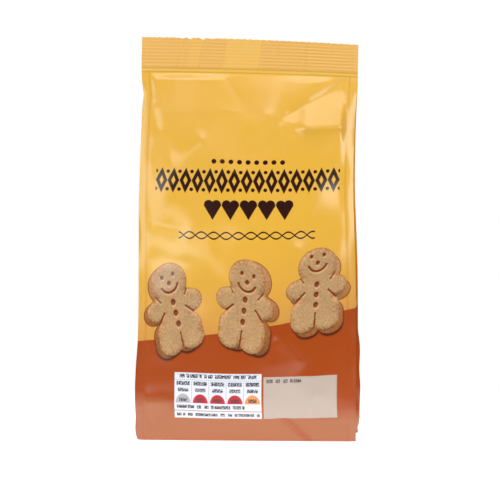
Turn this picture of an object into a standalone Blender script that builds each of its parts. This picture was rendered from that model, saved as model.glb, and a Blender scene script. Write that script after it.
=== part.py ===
"""A filled and heat-sealed bag of biscuits: a block-bottom film bag with two side gussets, a fin down
each of its four upright corners, a crimped seal across the top and a lap seam down the back.

Metres, +Z up. The bag stands on the XY plane and its printed front panel faces -Y.
The whole bag is one closed solid, lofted from flat base to flat seal through unlike sections.
"""

import bpy
import numpy as np

BAG_NAME = "biscuit_bag"

# Driving dimensions, in metres
SEAL_FOOT = 0.1848  # height where the two films meet, at the middle of the bag
RIBS_START = 0.1870  # height where the crimped ribs begin
SEAL_TOP = 0.2022  # height of the cut top edge, at the middle of the bag
BASE_HALF_DEPTH = 0.0245  # from the bag's middle to a corner crease, where the bag is full
GUSSET_HALF = 0.0260  # film from a corner crease to the gusset's middle crease
FIN_WIDTH = 0.0040  # each corner fin stands this far out of its crease
FIN_THICKNESS = 0.0005  # the two films of a fin
SEAL_HALF_THICKNESS = 0.0006  # the films of the top seal, half of them
FILL_HEIGHT = 0.080  # above this height the bag narrows towards its seal
TUCK_HEIGHT = 0.022  # below this height the panels lean in towards the base
TUCK_DEPTH = 0.0012

# Half widths of the front panel out to its fins, as (height, half width) pairs
LEFT_EDGE = (
    (0.0, 0.0544),
    (0.002, 0.0551),
    (0.012, 0.0554),
    (0.023, 0.0556),
    (0.036, 0.0552),
    (0.050, 0.0541),
    (0.070, 0.0537),
    (0.120, 0.0540),
    (0.155, 0.0539),
    (0.167, 0.0540),
    (0.173, 0.0536),
    (0.181, 0.0548),
    (0.203, 0.0549),
)
RIGHT_EDGE = (
    (0.0, 0.0549),
    (0.060, 0.0549),
    (0.088, 0.0547),
    (0.106, 0.0541),
    (0.125, 0.0535),
    (0.146, 0.0537),
    (0.162, 0.0542),
    (0.178, 0.0551),
    (0.203, 0.0556),
)
# How far each panel swells past the line between its corner creases, as (height, swell) pairs
FRONT_SWELL = (
    (0.0, 0.0004),
    (0.010, 0.0022),
    (0.022, 0.0046),
    (0.050, 0.0064),
    (0.080, 0.0070),
    (0.120, 0.0062),
    (0.150, 0.0040),
    (0.170, 0.0018),
    (0.185, 0.0),
)
BACK_SWELL = (
    (0.0, 0.0004),
    (0.012, 0.0026),
    (0.030, 0.0050),
    (0.060, 0.0062),
    (0.095, 0.0064),
    (0.130, 0.0052),
    (0.155, 0.0032),
    (0.172, 0.0014),
    (0.185, 0.0),
)
SIDE_SWELL = (
    (0.0, 0.0026),
    (0.006, 0.0042),
    (0.020, 0.0050),
    (0.050, 0.0050),
    (0.070, 0.0042),
    (0.090, 0.0024),
    (0.105, 0.0),
)
GUSSET_START, GUSSET_END = 0.088, 0.132  # heights between which the swelled side turns into the gusset's V
PANEL_ROUNDNESS = 2.4
SIDE_ROUNDNESS = 2.2

# The top seal droops to the right: height lost at x, from a slope and a bend
DROOP_SLOPE = 0.044
DROOP_BEND = 0.25  # per metre
DROOP_START = 0.110

# The crimping jaws press level ribs into the seal
RIB_COUNT = 9
RIB_DEPTH = 0.00022
SEAM_WIDTH = 0.0150  # the lap seam on the back panel
SEAM_THICKNESS = 0.0007

# Folds of the film as (start, end, rise, reach above or left, reach below or right).
# Each start and end is an (x, height) point on the panel, and a negative rise is a valley.
FRONT_FOLDS = (
    ((0.014, 0.158), (0.056, 0.151), 0.0024, 0.0090, 0.0035),
    ((0.012, 0.163), (0.054, 0.182), -0.0011, 0.0040, 0.0040),
    ((-0.050, 0.166), (-0.014, 0.134), 0.0016, 0.0040, 0.0090),
    ((-0.056, 0.176), (-0.044, 0.150), -0.0020, 0.0025, 0.0045),
    ((0.016, 0.166), (0.017, 0.126), 0.0010, 0.0080, 0.0030),
    ((-0.012, 0.182), (-0.004, 0.150), -0.0011, 0.0070, 0.0070),
    ((0.006, 0.118), (0.022, 0.072), 0.0009, 0.0050, 0.0090),
    ((-0.054, 0.110), (-0.026, 0.104), -0.0008, 0.0045, 0.0045),
    ((-0.054, 0.092), (-0.022, 0.088), -0.0007, 0.0040, 0.0050),
    ((0.016, 0.013), (0.036, -0.006), -0.0014, 0.0050, 0.0040),
    ((-0.056, 0.024), (0.000, 0.021), 0.0008, 0.0030, 0.0050),
)
BACK_FOLDS = (
    ((-0.050, 0.178), (-0.010, 0.150), 0.0018, 0.0050, 0.0080),
    ((0.052, 0.172), (0.012, 0.140), 0.0020, 0.0080, 0.0040),
    ((-0.040, 0.140), (-0.012, 0.110), -0.0011, 0.0050, 0.0060),
    ((0.030, 0.128), (0.048, 0.086), 0.0010, 0.0060, 0.0050),
    ((-0.054, 0.070), (-0.024, 0.078), -0.0009, 0.0050, 0.0040),
    ((0.020, 0.016), (0.050, 0.026), 0.0009, 0.0040, 0.0050),
)
CREST_ROUNDING = 0.0012

# Mesh density
PANEL_STEPS = 24
SIDE_STEPS = 10
BODY_LEVELS = 36


def ease(t):
    """Rises smoothly from 0 at t = 0 to 1 at t = 1, and stays level outside."""
    t = np.clip(t, 0.0, 1.0)
    return t * t * (3.0 - 2.0 * t)


def through(knots, height):
    """A smooth curve through (height, value) knots: cubic pieces with the knots' own mean slopes."""
    at, value = np.array(knots).T
    slope = np.gradient(value, at)
    i = np.clip(np.searchsorted(at, height, side="right") - 1, 0, len(at) - 2)
    span = at[i + 1] - at[i]
    t = np.clip((height - at[i]) / span, 0.0, 1.0)
    start = value[i] * (1 + 2 * t) * (1 - t) ** 2 + slope[i] * span * t * (1 - t) ** 2
    end = value[i + 1] * t * t * (3 - 2 * t) - slope[i + 1] * span * t * t * (1 - t)
    return start + end


def fold(x, height, start, end, rise, reach_left, reach_right):
    """A ridge or valley along a line: it falls away exponentially on both sides and fades at both ends."""
    across, up = end[0] - start[0], end[1] - start[1]
    length = np.hypot(across, up)
    along = ((x - start[0]) * across + (height - start[1]) * up) / length**2
    off = ((height - start[1]) * across - (x - start[0]) * up) / length
    reach = np.where(off > 0, reach_left, reach_right)
    rounded = np.sqrt(off**2 + CREST_ROUNDING**2) - CREST_ROUNDING
    fade = ease(along / 0.3) * ease((1 - along) / 0.3)
    return rise * fade * np.exp(-rounded / reach)


def half_depth(height):
    """From the bag's middle plane to its corner creases: full below, closing as a parabola to the seal."""
    closing = np.clip((height - FILL_HEIGHT) / (SEAL_FOOT - FILL_HEIGHT), 0.0, 1.0)
    full = SEAL_HALF_THICKNESS + (BASE_HALF_DEPTH - SEAL_HALF_THICKNESS) * (1 - closing**2)
    return full - TUCK_DEPTH * ease((TUCK_HEIGHT - height) / TUCK_HEIGHT)


def panel_relief(x, share, height, swell_knots, folds):
    """How far a panel stands out of the line between its creases. share runs from -1 to 1 across it."""
    relief = through(swell_knots, height) * (1 - np.abs(share) ** PANEL_ROUNDNESS)
    held = ease((1 - np.abs(share)) / 0.12) * ease((SEAL_FOOT - height) / 0.006) * ease(height / 0.006)
    for line in folds:
        relief = relief + held * fold(x, height, *line)
    return relief


def seam_relief(x, height):
    """The lap seam's ribbon down the middle of the back panel."""
    return SEAM_THICKNESS * ease((SEAM_WIDTH / 2 - np.abs(x)) / 0.0012) * ease((height - 0.001) / 0.004)


def side_offset(height):
    """How far the middle of a side stands out of its creases: a swell below, the gusset's fold above."""
    folded = -np.sqrt(np.maximum(GUSSET_HALF**2 - half_depth(height) ** 2, 0.0))
    turn = ease((height - GUSSET_START) / (GUSSET_END - GUSSET_START))
    return through(SIDE_SWELL, height) * (1 - turn) + folded * turn


def side_row(height, corner_x, inner_half_depth, rows):
    """(x, y) of a side from its front crease to its back one, rounded below and a V above."""
    y = inner_half_depth * rows
    turn = ease((height - GUSSET_START) / (GUSSET_END - GUSSET_START))
    roundness = SIDE_ROUNDNESS + (1.0 - SIDE_ROUNDNESS) * turn
    return corner_x + side_offset(height) * (1 - np.abs(rows) ** roundness), y


def settle(points):
    """The droop of the seal, which grows with height from nothing at DROOP_START."""
    x, y, z = points.T
    share = np.clip((z - DROOP_START) / (SEAL_TOP - DROOP_START), 0.0, 1.0) ** 1.5
    return np.column_stack([x, y, z - share * (DROOP_SLOPE * x + DROOP_BEND * x * x)])


def panel_row(height, side):
    """(x, y) across the front (side -1) or back (side +1) panel, from its left crease to its right one."""
    share = np.linspace(-1.0, 1.0, PANEL_STEPS + 1)
    left = FIN_WIDTH - through(LEFT_EDGE, height)
    right = through(RIGHT_EDGE, height) - FIN_WIDTH
    x = left + (right - left) * (share + 1) / 2
    if side < 0:
        relief = panel_relief(x, share, height, FRONT_SWELL, FRONT_FOLDS)
    else:
        relief = panel_relief(x, share, height, BACK_SWELL, BACK_FOLDS) + seam_relief(x, height)
    return x, side * (half_depth(height) + relief)


def body_section(height):
    """One closed outline of the bag at this height, anticlockwise from above: front panel, right-hand
    fin, side, fin, back panel, and the left-hand ones."""
    rows = np.linspace(-1.0, 1.0, SIDE_STEPS + 1)
    front_x, front_y = panel_row(height, -1)
    back_x, back_y = panel_row(height, 1)
    depth = half_depth(height)
    inner = depth - min(FIN_THICKNESS, depth / 2)
    left_tip, right_tip = -through(LEFT_EDGE, height), through(RIGHT_EDGE, height)
    right_x, side_y = side_row(height, front_x[-1], inner, rows)
    left_x = front_x[0] - (right_x - front_x[-1])
    outline = [np.column_stack([front_x, front_y])]
    outline.append([(right_tip, -depth), (right_tip, -inner)])
    outline.append(np.column_stack([right_x, side_y]))
    outline.append([(right_tip, inner), (right_tip, depth)])
    outline.append(np.column_stack([back_x, back_y])[::-1])
    outline.append([(left_tip, depth), (left_tip, inner)])
    outline.append(np.column_stack([left_x, side_y])[::-1])
    outline.append([(left_tip, -inner), (left_tip, -depth)])
    flat = np.vstack(outline)
    return np.column_stack([flat, np.full(len(flat), height)])


def seal_section(height):
    """One outline of the flat seal: both films across their full width, with the ribs pressed into them."""
    ribs = max(height - RIBS_START, 0.0) / (SEAL_TOP - RIBS_START) * RIB_COUNT
    wave = RIB_DEPTH * np.sin(2 * np.pi * ribs)
    front_x, _ = panel_row(height, -1)
    seam = seam_relief(front_x, height)
    left_tip, right_tip = -through(LEFT_EDGE, height), through(RIGHT_EDGE, height)
    front = np.column_stack([front_x, np.full_like(front_x, wave - SEAL_HALF_THICKNESS)])
    back = np.column_stack([front_x, wave + SEAL_HALF_THICKNESS + seam])[::-1]
    edge = np.array([-1.0, -0.5, 0.5, 1.0]) * SEAL_HALF_THICKNESS + wave
    right = np.column_stack([np.full(4, right_tip), edge])
    left = np.column_stack([np.full(4, left_tip), edge])[::-1]
    flat = np.vstack([front, right, back, left])
    return np.column_stack([flat, np.full(len(flat), height)])


def strip(lower, upper):
    """Quads between two closed outlines of equal length, given as lists of vertex numbers."""
    n = len(lower)
    return [(lower[i], lower[(i + 1) % n], upper[(i + 1) % n], upper[i]) for i in range(n)]


def base_patch(first, outline, ring):
    """A grid of quads that closes the base. Its edge is the lowest outline, without the fins' tips.
    first is the number of the first new vertex, and the result is (new points, faces)."""
    across = PANEL_STEPS + 1
    deep = SIDE_STEPS + 1
    front = ring[:across]
    right = ring[across + 2 : across + 2 + deep]
    back = ring[across + 4 + deep : across * 2 + 4 + deep][::-1]
    left = ring[across * 2 + 6 + deep : across * 2 + 6 + deep * 2][::-1]
    grid = np.zeros((deep + 2, across), int)
    grid[0], grid[-1] = front, back
    grid[1:-1, 0], grid[1:-1, -1] = left, right
    points = []
    for j in range(1, deep + 1):
        start, end = outline[grid[j, 0]], outline[grid[j, -1]]
        for i in range(1, across - 1):
            grid[j, i] = first + len(points)
            share = i / (across - 1)
            points.append(start + (end - start) * share)
    faces = []
    for j in range(deep + 1):
        for i in range(across - 1):
            faces.append((grid[j, i], grid[j + 1, i], grid[j + 1, i + 1], grid[j, i + 1]))
    fins = [
        (front[-1], right[0], ring[across + 1], ring[across]),
        (back[-1], ring[across + 3 + deep], ring[across + 2 + deep], right[-1]),
        (back[0], left[-1], ring[across * 2 + 5 + deep], ring[across * 2 + 4 + deep]),
        (front[0], ring[across * 2 + 7 + deep * 2], ring[across * 2 + 6 + deep * 2], left[0]),
    ]
    return points, faces + fins


def bag_levels():
    """Heights of the body's sections: close together at the base, the tuck and the seal."""
    low = [0.0, 0.0006, 0.0018, 0.004, 0.008, 0.012, 0.016, 0.020, 0.024]
    middle = np.linspace(0.029, SEAL_FOOT - 0.009, BODY_LEVELS - len(low) - 3)
    top = [SEAL_FOOT - 0.006, SEAL_FOOT - 0.003, SEAL_FOOT]
    return [*low, *middle, *top]


def build_mesh():
    """Points and faces of the whole bag."""
    levels = bag_levels()
    sections = [body_section(height) for height in levels]
    points = list(np.vstack(sections))
    count = len(sections[0])
    rings = [list(range(k * count, (k + 1) * count)) for k in range(len(levels))]
    faces = []
    for lower, upper in zip(rings, rings[1:]):
        faces += strip(lower, upper)
    new_points, new_faces = base_patch(len(points), points, rings[0])
    points += new_points
    faces += new_faces

    across, deep = PANEL_STEPS + 1, SIDE_STEPS + 1
    top = rings[-1]
    right_notch = top[across + 1 : across + 3 + deep]
    left_notch = top[across * 2 + 5 + deep : across * 2 + 7 + deep * 2]
    faces += [tuple(right_notch), tuple(left_notch)]
    ring = top[: across + 2] + top[across + 2 + deep : across * 2 + 6 + deep] + top[-2:]
    rib_levels = np.linspace(RIBS_START, SEAL_TOP, RIB_COUNT * 4 + 1)[1::2]
    for height in [RIBS_START, *rib_levels, SEAL_TOP]:
        section = seal_section(height)
        upper = list(range(len(points), len(points) + len(section)))
        points += list(section)
        faces += strip(ring, upper)
        ring = upper
    faces += top_cap(ring, across)
    return settle(np.array(points)), faces


def top_cap(ring, across):
    """Quads that join the front and back films along the cut top edge."""
    front = ring[:across]
    right = ring[across : across + 4]
    back = ring[across + 4 : across * 2 + 4][::-1]
    left = ring[across * 2 + 4 :][::-1]
    faces = [(front[i], front[i + 1], back[i + 1], back[i]) for i in range(across - 1)]
    faces.append((front[-1], right[0], right[1], right[2], right[3], back[-1]))
    faces.append((front[0], back[0], left[3], left[2], left[1], left[0]))
    return faces


def film_material():
    material = bpy.data.materials.new("printed_film")
    material.use_nodes = True
    shader = material.node_tree.nodes["Principled BSDF"]
    shader.inputs["Base Color"].default_value = (0.86, 0.50, 0.10, 1.0)
    shader.inputs["Roughness"].default_value = 0.35
    shader.inputs["Metallic"].default_value = 0.0
    return material


def build_bag(collection):
    points, faces = build_mesh()
    middle = (points.min(axis=0) + points.max(axis=0)) / 2
    points[:, :2] -= middle[:2]
    mesh = bpy.data.meshes.new(BAG_NAME)
    mesh.from_pydata(points.tolist(), [], [tuple(int(v) for v in face) for face in faces])
    mesh.materials.append(film_material())
    mesh.shade_smooth()
    mesh.set_sharp_from_angle(angle=np.radians(40))
    bag = bpy.data.objects.new(BAG_NAME, mesh)
    collection.objects.link(bag)
    return bag


def main():
    for thing in list(bpy.data.objects):
        bpy.data.objects.remove(thing)
    collection = bpy.data.collections.new(BAG_NAME)
    bpy.context.scene.collection.children.link(collection)
    build_bag(collection)


main()
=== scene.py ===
"""A filled and heat-sealed biscuit bag of glossy printed film, dressed around its solid, and its stage.

The bag is one closed film surface, worked out as sheets of points over (row, column) grids: a front and
a back sheet that run from the base to the cut top edge, a gusset sheet on each side, and small sheets
that close the base, the fins, the seal's ends and the gusset pockets. The print is fields of colour and
simple shapes. Its places are millimetres on the flat film, kept in the map named "print".
"""

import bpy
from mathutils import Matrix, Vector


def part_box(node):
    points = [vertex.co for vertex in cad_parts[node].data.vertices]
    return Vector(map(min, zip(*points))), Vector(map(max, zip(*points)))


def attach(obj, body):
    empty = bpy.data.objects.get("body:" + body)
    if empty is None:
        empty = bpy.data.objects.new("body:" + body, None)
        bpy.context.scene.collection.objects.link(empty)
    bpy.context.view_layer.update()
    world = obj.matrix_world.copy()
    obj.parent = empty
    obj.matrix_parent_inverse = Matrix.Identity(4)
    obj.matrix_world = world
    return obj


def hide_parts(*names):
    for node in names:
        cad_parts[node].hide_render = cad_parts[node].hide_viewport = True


bl_info = {
    "name": "Biscuit Bag",
    "version": (1, 0, 0),
    "blender": (4, 5, 0),
    "location": "3D Viewport > Sidebar > Biscuit Bag",
    "description": "Builds a sealed block-bottom biscuit bag of printed film and its studio stage",
    "category": "Add Mesh",
}

import math

import bpy
import numpy as np
from bpy.props import FloatProperty, FloatVectorProperty, IntProperty, PointerProperty
from mathutils import Vector

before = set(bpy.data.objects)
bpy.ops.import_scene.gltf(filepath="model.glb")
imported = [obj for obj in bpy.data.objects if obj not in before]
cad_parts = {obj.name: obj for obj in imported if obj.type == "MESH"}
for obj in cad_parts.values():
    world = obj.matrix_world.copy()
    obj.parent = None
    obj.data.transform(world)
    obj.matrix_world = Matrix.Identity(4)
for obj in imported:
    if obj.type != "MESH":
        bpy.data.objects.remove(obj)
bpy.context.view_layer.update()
BAG_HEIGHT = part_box("biscuit_bag")[1].z
MM = 0.001
PLACE_MAP = "print"
BAKE_MAP = "OFBake"

# Heights on the bag
SEAL_TOP = BAG_HEIGHT - 1.66 * MM
SEAL_FOOT = SEAL_TOP - 17.4 * MM
RIBS_START = SEAL_FOOT + 2.2 * MM
FILL_HEIGHT = 80 * MM
TUCK_HEIGHT = 22 * MM
DROOP_START = 110 * MM
GUSSET_START, GUSSET_END = 88 * MM, 132 * MM

# Depths and widths of the film's main forms
HALF_DEPTH = 24.5 * MM
TUCK_DEPTH = 1.2 * MM
GUSSET_HALF = 26 * MM
SEAM_WIDTH = 15 * MM
DROOP_SLOPE = 0.044
DROOP_BEND = 0.25
PANEL_ROUNDNESS = 2.1
SIDE_ROUNDNESS = 2.2
EDGE_ROUNDING, EDGE_TOP = 0.4 * MM, 1.5 * MM

# Half widths out to the fins' tips, then swells of the panels, as (height, value) pairs in millimetres
LEFT_EDGE = (
    (0, 54.4), (2, 55.1), (12, 55.4), (23, 55.6), (36, 55.2), (50, 54.1), (70, 53.7), (120, 54.0),
    (155, 53.9), (167, 54.0), (173, 53.6), (181, 54.8), (203, 54.9),
)
RIGHT_EDGE = (
    (0, 54.9), (60, 54.9), (88, 54.7), (106, 54.1), (125, 53.5), (146, 53.7), (162, 54.2), (178, 55.1),
    (203, 55.6),
)
FRONT_SWELL = (
    (0, 0.4), (10, 3.2), (18, 5.6), (26, 6.3), (50, 6.7), (80, 7.0), (120, 6.2), (150, 4.0), (170, 1.8),
    (185, 0),
)
BACK_SWELL = (
    (0, 0.4), (12, 2.6), (30, 5.0), (60, 6.2), (95, 6.4), (130, 5.2), (155, 3.2), (172, 1.4), (185, 0),
)
SIDE_SWELL = ((0, 2.4), (4, 4.0), (10, 5.4), (22, 5.6), (50, 5.0), (70, 3.8), (90, 1.9), (105, 0))

# Folds as (start, end, rise, reach left, reach right, rounding), in millimetres on a panel. A negative
# rise is a valley. Left and right are those of someone who walks from start to end.
FRONT_FOLDS = (
    ((11, 157.5), (72, 195.5), -2.6, 4.0, 12.0, 0.3),
    ((6, 164.5), (38, 155.8), 1.3, 10.0, 5.0, 0.8),
    ((20, 155.5), (70, 159.5), 4.0, 18.0, 4.5, 0.6),
    ((16, 161), (19.5, 141), 0.8, 7.0, 2.5, 0.4),
    ((43, 156), (58, 141), 0.45, 3.0, 3.0, 1.0),
    ((-15, 188), (3.5, 158.5), -0.5, 5.0, 4.0, 1.0),
    ((-66, 180.5), (-2, 182.5), 0.8, 4.0, 10.0, 1.6),
    ((-28, 155), (-3, 131), 1.5, 5.0, 7.0, 1.4),
    ((-38, 192), (-35, 160), 0.8, 9.0, 6.0, 1.5),
    ((-50, 172), (-44, 151), -0.45, 3.0, 3.0, 0.5),
    ((-45, 170), (-41, 155), 0.3, 3.0, 5.0, 0.8),
    ((50.5, 189), (49.5, 167), -1.3, 1.6, 1.6, 0.3),
    ((3, 112.5), (30, 93), 0.7, 5.0, 3.0, 0.5),
    ((-54, 110), (-26, 104), -0.6, 4.5, 4.5, 1.2),
    ((-54, 92), (-22, 88), -0.5, 4.0, 5.0, 1.2),
    ((14, 55), (30, 36), 1.0, 3.8, 5.0, 1.2),
    ((15, 15), (28, 3), -0.9, 3.0, 4.0, 0.4),
    ((31, 10), (37, 28), 0.6, 3.0, 3.0, 0.8),
    ((-48.5, 28), (-47, 4), -0.6, 2.5, 3.0, 0.5),
    ((-56, 19.5), (-30, 17.5), 0.6, 3.0, 5.0, 0.8),
)
BACK_FOLDS = (
    ((-50, 178), (-10, 150), 1.8, 5.0, 8.0, 0.8),
    ((52, 172), (12, 140), 2.0, 8.0, 4.0, 0.8),
    ((-40, 140), (-12, 110), -1.1, 5.0, 6.0, 1.0),
    ((30, 128), (48, 86), 1.0, 6.0, 5.0, 1.2),
    ((-54, 70), (-24, 78), -0.9, 5.0, 4.0, 1.0),
    ((20, 16), (50, 26), 0.9, 4.0, 5.0, 1.0),
)
# The flaps folded under the base, in millimetres from the base's middle
BASE_FOLDS = (
    ((-52, 0), (52, 0), 0.45, 7.0, 1.0, 0.3),
    ((-52, -24), (-27, 0), 0.35, 4.0, 1.2, 0.3),
    ((-27, 0), (-52, 24), 0.35, 4.0, 1.2, 0.3),
    ((27, 0), (52, -24), 0.35, 4.0, 1.2, 0.3),
    ((52, 24), (27, 0), 0.35, 4.0, 1.2, 0.3),
)

# Where the layers of the seal begin and end, as (x, rise) in millimetres, and nicks in its cut edge, as
# (x, half width, depth)
SEAL_STEPS = ((-34.5, -0.12), (-17.2, -0.08), (-12.6, 0.10), (5.7, -0.10), (15.5, 0.06), (29.1, 0.12))
NICKS = ((-34.5, 2.2, 0.5), (-30.0, 1.6, 0.8), (-23.5, 1.4, 0.9), (-19.0, 1.2, 0.6))

# Points across and up the sheets
FIN_STEPS = 4
PANEL_STEPS = 128
SIDE_STEPS = 45
EDGE_HEIGHTS = (0.0, 0.2, 0.5, 0.9)
BODY_LEVELS = 172
SEAL_LEVELS = 76

# The print, in millimetres on the flat film from the middle of the base edge
FIELD_EDGE = (56.9, 0.151, 0.0004)  # height of the two fields' edge: constant, slope and bend
# Where the painted reflection of the floor on the lower field begins, paler below
FLOOR_REFLECTION_HEIGHT = 21.8  # where the lower field turns paler
# A streak that the painted reflection of the floor leaves out
BASE_STREAK = ((20.0, 12.0), (31.0, 1.5))  # ends of a streak that stays darker there
# Middle, radius and strength of two patches of painted sheen on the upper field
UPPER_SHEEN_PATCH, LOWER_SHEEN_PATCH = ((-31.0, 171.0), 8.0, 0.45), ((-38.0, 95.0), 6.0, 0.3)
RIBS_FOOT = 0.126  # share up the seal where its ribs begin
# Two lines of painted shade in the seal: its shadow at its foot and the crease at its ribs' foot
SHADE_LINES = ((0.0, 0.35), (RIBS_FOOT, 0.3))  # share up the seal and strength of two dark lines
CLEAR_LINE = 0.07  # share up the seal of the clear line between them
LAYER_LEAN = 2.6  # how far the layers' ends shift in u from the seal's foot to its top
SEAL_CLEAR = ((-5.0, 9.4, 1.0), (-29.5, 3.4, 0.5))  # u, half width and strength of its clearer parts
# u and strength of the lines of painted shade along the steps where the seal's inner layers end
SEAL_STEP_SHADES = ((-37.5, 0.12), (-26.5, 0.16), (-14.5, 0.12), (4.2, 0.14), (13.0, 0.08), (27.5, 0.12))
# Each figure's middle, how its x and its y grow with u and with v, how high its face sits, and how far its
# side shows to the right and up
FIGURES = (
    (-35.4, 66.1, 0.98, 0.250, -0.370, 0.94, 0.65, -2.5, -0.8),
    (-0.5, 67.9, 1.02, -0.114, 0.276, 0.968, -0.36, 3.1, 0.0),
    (35.2, 75.2, 0.99, -0.055, -0.130, 1.10, 2.7, 2.2, -3.0),
)
FIGURE_LIMITS = (-17.2, 18.6)  # u where the next figure begins
LIGHT_STEP = (-0.2, 0.9)  # towards the light that the figures are drawn in
# Middle, pitch and count of each row of ornaments
FRIEZE = (1.0, 131.2, 6.2, 15)
HEARTS = (2.0, 116.8, 9.0, 5)
DOTS = (1.4, 141.2, 4.3, 9)
WAVE = (0.7, 103.5, 34.3, 6.2)  # middle, half length and wave length of the chain of ovals
# Middles and half sizes of the panels and of their wide rows
TABLE = (-13.05, 25.65, 21.85, 9.45)
STRIP = (-13.05, 14.0, 21.85, 1.85)
DATE = (28.05, 22.85, 18.25, 10.65)
DATE_ROW = (19.65, 31.4, 8.8, 0.9)
TABLE_ROWS = ((-13.05, 33.5, 20.4, 0.95), (-16.65, 18.1, 17.0, 0.9), (-13.05, 14.0, 20.8, 0.8))
BACK_COLUMN = (29.0, 116.0, 17.5, 38.0)
BACK_PANEL = (30.0, 30.0, 16.0, 12.0)
ROW_PITCH = 3.8  # from one row of dashes to the next
CELL = 8.7  # width of the table's cells
# Height, half sizes and least ink of each cell's rows
CELL_ROWS = ((29.8, 3.4, 1.0, 0.35), (26.5, 2.7, 0.9, 0.3), (21.6, 2.0, 0.9, 0.3))
DISC = (20.0, 3.8, 4.5)  # foot, half width and height of a half disc
RULE, POSTS = 31.6, (25.5, 5.6)  # height of the rule, and middle and half height of the posts

FRONT, BACK, PLAIN = 0, 1, 2

# Tints that the inks don't give, as linear colours
CLEAR_TINT = (0.98, 0.72, 0.12, 1.0)
# Tint of the lower patch of painted sheen
SHEEN_TINT = (1.0, 0.76, 0.28, 1.0)
SHADOW_TINT = (0.03, 0.008, 0.003, 1.0)
WORN_TINT = (0.95, 0.80, 0.50, 1.0)

# The stage, in metres, with each softbox's azimuth, elevation, width and height
FLOOR_LEVEL = -0.2 * MM
FLOOR_SOLID, FLOOR_REACH = 0.12, 0.34
FRAME_WIDTH = 0.255  # what the frame spans at the bag's axis
SENSOR_WIDTH = 36.0  # in millimetres
AIM = (0.45 * MM, -5.08 * MM)  # the camera's aim: right of the bag's axis, up from the camera's height
LIGHT_DISTANCE = 1.2
SOFTBOXES = (
    ("left_light", -54, 20, 0.8, 0.8),
    ("left_window", -24, 8, 0.5, 0.2),
    ("right_light", 48, 24, 0.65, 0.8),
    ("top_light", 0, 77, 0.9, 0.5),
    ("back_light", 180, 35, 0.9, 0.9),
)


def size_setting(name, description, millimetres):
    """A length property whose default is given in millimetres."""
    return FloatProperty(name=name, description=description, default=millimetres * MM, unit="LENGTH")


class BagForm(bpy.types.PropertyGroup):
    """Sizes of the film's finer forms."""

    fin_width: size_setting("Fin width", "From a corner crease to its fin's tip", 4.0)
    fin_thickness: size_setting("Fin thickness", "The two films of a fin", 0.4)
    fin_lean: size_setting("Fin lean", "How far a fin's tip leans in over the gusset", 1.5)
    fin_wave: size_setting("Fin wave", "How far a fin's tip bends out of line", 0.7)
    seal_thickness: size_setting("Seal thickness", "All films of the top seal", 1.0)
    seam_thickness: size_setting("Seam thickness", "The lap seam down the back", 0.6)
    rib_count: IntProperty(name="Seal ribs", description="Level ribs crimped into the seal", default=9)
    rib_depth: size_setting("Rib depth", "Height of the seal's ribs", 0.07)
    crumple_depth: size_setting("Crumple depth", "Height of the film's fine folds", 0.22)
    crumple_count: IntProperty(name="Crumples", description="Fine folds on each panel", default=46)
    crumple_seed: IntProperty(name="Crumple seed", description="Draws another set of fine folds", default=11)
    lump_depth: size_setting("Lump depth", "Height of the biscuits' lumps", 0.28)


def print_colour(name, description, red, green, blue):
    """A colour property whose default is an sRGB colour given as 0 to 255."""
    shares = np.array((red, green, blue)) / 255
    linear = np.where(shares <= 0.04045, shares / 12.92, ((shares + 0.055) / 1.055) ** 2.4)
    return FloatVectorProperty(
        name=name, description=description, subtype="COLOR", size=4, min=0, max=1, default=(*linear, 1)
    )


class PrintColours(bpy.types.PropertyGroup):
    """Inks of the printed film."""

    yellow: print_colour("Yellow", "Upper field", 237, 183, 64)
    dull_yellow: print_colour("Dull yellow", "Upper field beside the lower one", 202, 142, 74)
    # The crimped seal's film, paler than the yellow partly as painted reflection; also the tint of the
    # painted sheen on the upper field
    seal_yellow: print_colour("Seal yellow", "Film crimped in the top seal", 248, 194, 108)
    clear_yellow: print_colour("Clear yellow", "Seal over its fewest layers", 255, 204, 104)
    orange: print_colour("Orange", "Lower field", 162, 69, 18)
    # The lower field's painted reflection of the floor, towards the base
    pale_orange: print_colour("Pale orange", "Lower field at the base", 170, 102, 64)
    ink: print_colour("Ink", "Ornaments", 50, 20, 15)
    biscuit: print_colour("Biscuit", "Figures", 186, 148, 104)
    crust: print_colour("Crust", "Edges and sides of the figures", 172, 108, 58)
    brown: print_colour("Brown", "Dents and outlines of the figures", 118, 44, 14)
    paper: print_colour("Panel white", "Table panel", 222, 226, 237)
    grey_ink: print_colour("Grey ink", "Rows and rules in the panels", 52, 46, 50)
    date_panel: print_colour("Date panel", "Panel beside the table", 187, 171, 159)
    disc_grey: print_colour("Grey disc", "First half disc in the table", 172, 172, 177)
    disc_red: print_colour("Red disc", "Middle half discs in the table", 188, 18, 36)
    disc_amber: print_colour("Amber disc", "Last half disc in the table", 224, 148, 84)


class StageSettings(bpy.types.PropertyGroup):
    """The camera's place and the lights' strengths."""

    distance: size_setting("Camera distance", "From the bag's middle to the camera", 1000)
    height: size_setting("Camera height", "Height of the camera above the floor", 100)
    turn: FloatProperty(
        name="Camera turn",
        description="Angle round the bag to its right-hand side",
        default=math.radians(4.5),
        unit="ROTATION",
    )
    left_light: FloatProperty(name="Left light", description="Radiance of the left softbox", default=3.45)
    left_window: FloatProperty(name="Left window", description="Radiance of the small softbox", default=3.0)
    right_light: FloatProperty(name="Right light", description="Radiance of the right softbox", default=5.2)
    top_light: FloatProperty(name="Top light", description="Radiance of the softbox above", default=3.0)
    back_light: FloatProperty(name="Back light", description="Radiance of the softbox behind", default=4.5)
    floor_glow: FloatProperty(name="Floor glow", description="Light that the floor gives off", default=0.68)


def ease(t):
    """0 below t = 0, 1 above t = 1, and 3 t squared less 2 t cubed between."""
    t = np.clip(t, 0.0, 1.0)
    return t * t * (3.0 - 2.0 * t)


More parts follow.
